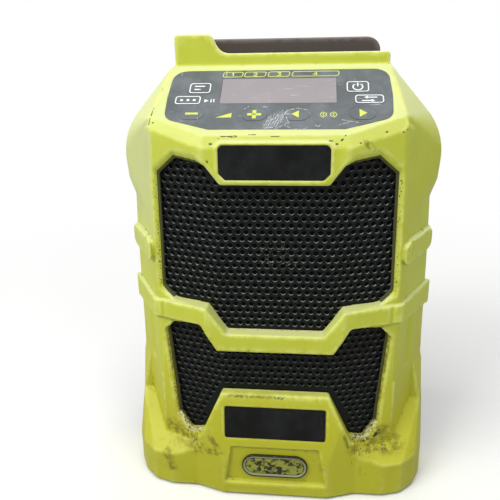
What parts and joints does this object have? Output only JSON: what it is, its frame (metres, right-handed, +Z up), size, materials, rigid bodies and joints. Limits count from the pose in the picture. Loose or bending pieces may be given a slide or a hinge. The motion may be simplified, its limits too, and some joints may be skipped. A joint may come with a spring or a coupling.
{
  "type": "jobsite radio",
  "caption": "Tall cordless jobsite radio: lime ribbed front shell, bent perforated grille, sloping keypad with a display, phone slot on top, battery bay behind.",
  "frame": {"origin": "on the ground under the middle of the housing's box", "axes": "+Z up, the grille and the control panel face -Y, +X is on the right of someone looking at the rear, so on the right in a front view"},
  "size_m": [0.1704, 0.12, 0.2404],
  "materials": {
    "lime_shell": "fine-textured lime ABS with scuffs and dirt in its corners",
    "dark_shell": "fine-textured charcoal ABS",
    "black_moulding": "black moulded plastic",
    "grille_steel": "perforated steel sheet, black powder coat",
    "acoustic_cloth": "open woven black cloth",
    "badge_plastic": "satin black plate, bare",
    "badge_metal": "worn silver oval plate with a raised rim, bare",
    "panel_film": "scratched grey-blue printed film",
    "display_pane": "tinted pane over a grey display",
    "display_body": "display glass and frame",
    "clear_silicone": "milky silicone",
    "circuit_board": "solder-masked laminate",
    "heatsink_aluminium": "extruded",
    "plated_steel": "zinc plated",
    "dark_steel": "black oxide",
    "ferrite": "pressed and sintered ferrite",
    "cone_paper": "pressed black paper",
    "black_rubber": "black rubber",
    "copper_wire": "enamelled copper wire",
    "terminal_brass": "plated spring brass"
  },
  "bodies": {
    "housing": {"front_housing": "lime_shell", "rear_housing": "dark_shell", "upper_grille": "grille_steel", "lower_grille": "grille_steel", "grille_cloth": "acoustic_cloth", "speaker_baffle": "black_moulding", "upper_badge": "badge_plastic", "lower_badge": "badge_plastic", "oval_badge": "badge_metal", "control_overlay": "panel_film", "display_window": "display_pane", "display_module": "display_body", "key_dome_sheet": "clear_silicone", "control_board": "circuit_board", "main_board": "circuit_board", "amplifier_heatsink": "heatsink_aluminium", "speaker_gasket": "black_rubber", "speaker_basket": "plated_steel", "speaker_surround": "black_rubber", "spider": "acoustic_cloth", "top_plate": "plated_steel", "speaker_magnet": "ferrite", "magnet_yoke": "plated_steel", "bass_port": "black_moulding", "ferrite_antenna": "ferrite", "antenna_coil": "copper_wire", "battery_socket": "black_moulding", "battery_terminals": "terminal_brass", "audio_jack": "black_moulding", "cover_pin": "plated_steel", "phone_slot_pad": "black_rubber", "rubber_feet": "black_rubber", "housing_screws": "dark_steel", "baffle_screws": "plated_steel", "speaker_screws": "plated_steel", "board_screws": "plated_steel"},
    "display_key_body": {"display_key": "panel_film"},
    "preset_key_body": {"preset_key": "panel_film"},
    "volume_down_key_body": {"volume_down_key": "panel_film"},
    "volume_up_key_body": {"volume_up_key": "panel_film"},
    "scan_back_key_body": {"scan_back_key": "panel_film"},
    "scan_forward_key_body": {"scan_forward_key": "panel_film"},
    "power_key_body": {"power_key": "panel_film"},
    "mode_key_body": {"mode_key": "panel_film"},
    "cover": {"port_cover": "black_rubber"},
    "cone": {"speaker_cone": "cone_paper", "dust_cap": "cone_paper", "voice_coil": "copper_wire"}
  },
  "joints": [
    {"name": "display_key_press", "type": "slide", "parent": "housing", "child": "display_key_body", "axis": [0, 0.5807, -0.8141], "range_m": [0, 0.0006], "stiffness_N_per_m": 400, "springref_m": -0.0005},
    {"name": "preset_key_press", "type": "slide", "parent": "housing", "child": "preset_key_body", "axis": [0, 0.5807, -0.8141], "range_m": [0, 0.0006], "stiffness_N_per_m": 400, "springref_m": -0.0005},
    {"name": "volume_down_key_press", "type": "slide", "parent": "housing", "child": "volume_down_key_body", "axis": [0, 0.5807, -0.8141], "range_m": [0, 0.0006], "stiffness_N_per_m": 400, "springref_m": -0.0005},
    {"name": "volume_up_key_press", "type": "slide", "parent": "housing", "child": "volume_up_key_body", "axis": [0, 0.5807, -0.8141], "range_m": [0, 0.0006], "stiffness_N_per_m": 400, "springref_m": -0.0005},
    {"name": "scan_back_key_press", "type": "slide", "parent": "housing", "child": "scan_back_key_body", "axis": [0, 0.5807, -0.8141], "range_m": [0, 0.0006], "stiffness_N_per_m": 400, "springref_m": -0.0005},
    {"name": "scan_forward_key_press", "type": "slide", "parent": "housing", "child": "scan_forward_key_body", "axis": [0, 0.5807, -0.8141], "range_m": [0, 0.0006], "stiffness_N_per_m": 400, "springref_m": -0.0005},
    {"name": "power_key_press", "type": "slide", "parent": "housing", "child": "power_key_body", "axis": [0, 0.5807, -0.8141], "range_m": [0, 0.0006], "stiffness_N_per_m": 400, "springref_m": -0.0005},
    {"name": "mode_key_press", "type": "slide", "parent": "housing", "child": "mode_key_body", "axis": [0, 0.5807, -0.8141], "range_m": [0, 0.0006], "stiffness_N_per_m": 400, "springref_m": -0.0005},
    {"name": "port_cover_hinge", "type": "hinge", "parent": "housing", "child": "cover", "pos_m": [0.0744, 0.014, 0.155], "axis": [0, -1, 0], "range_deg": [0, 100]},
    {"name": "cone_travel", "type": "slide", "parent": "housing", "child": "cone", "axis": [0, 1, 0], "range_m": [-0.001, 0.001], "stiffness_N_per_m": 1500, "deforming": ["speaker_surround", "spider"]}
  ]
}
